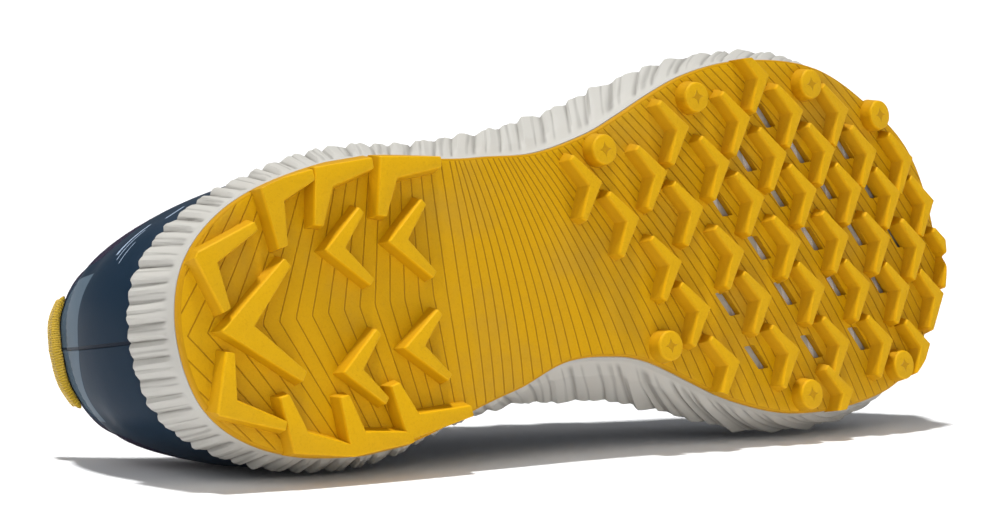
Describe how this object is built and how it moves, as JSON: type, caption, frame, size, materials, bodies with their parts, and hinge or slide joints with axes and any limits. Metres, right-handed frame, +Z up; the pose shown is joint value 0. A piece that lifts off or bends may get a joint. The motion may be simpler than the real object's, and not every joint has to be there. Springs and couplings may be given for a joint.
{
  "type": "trail running shoe",
  "caption": "Right trail running shoe lying on its side: lugged rubber outsole with windows, flared ribbed midsole, hollow laced upper, padded collar, tongue, insole and heel tab.",
  "frame": {"origin": "middle of the bounding box, on the floor", "axes": "+X from heel to toe along the floor, +Y from the sole to the collar, +Z up from the floor, on which the shoe lies on its medial side"},
  "size_m": [0.299, 0.1016, 0.1187],
  "materials": {
    "outsole": "moulded ochre rubber, matte with fine grain, a little scuffed",
    "window_plate": "grey, lightly glittering",
    "midsole": "off-white moulded foam skin, satin, with dirt in the ribs",
    "insole": "dark knit over foam",
    "upper": "navy synthetic, smooth panels over mesh",
    "collar_lining": "dark padded textile",
    "tongue": "dark padded mesh",
    "lace": "flat woven polyester",
    "heel_tab": "ribbed yellow webbing"
  },
  "bodies": {
    "root": {"outsole": "outsole", "window_plate": "window_plate", "midsole": "midsole", "insole": "insole", "upper": "upper", "collar_lining": "collar_lining", "tongue": "tongue", "lace": "lace", "heel_tab": "heel_tab"}
  },
  "joints": []
}
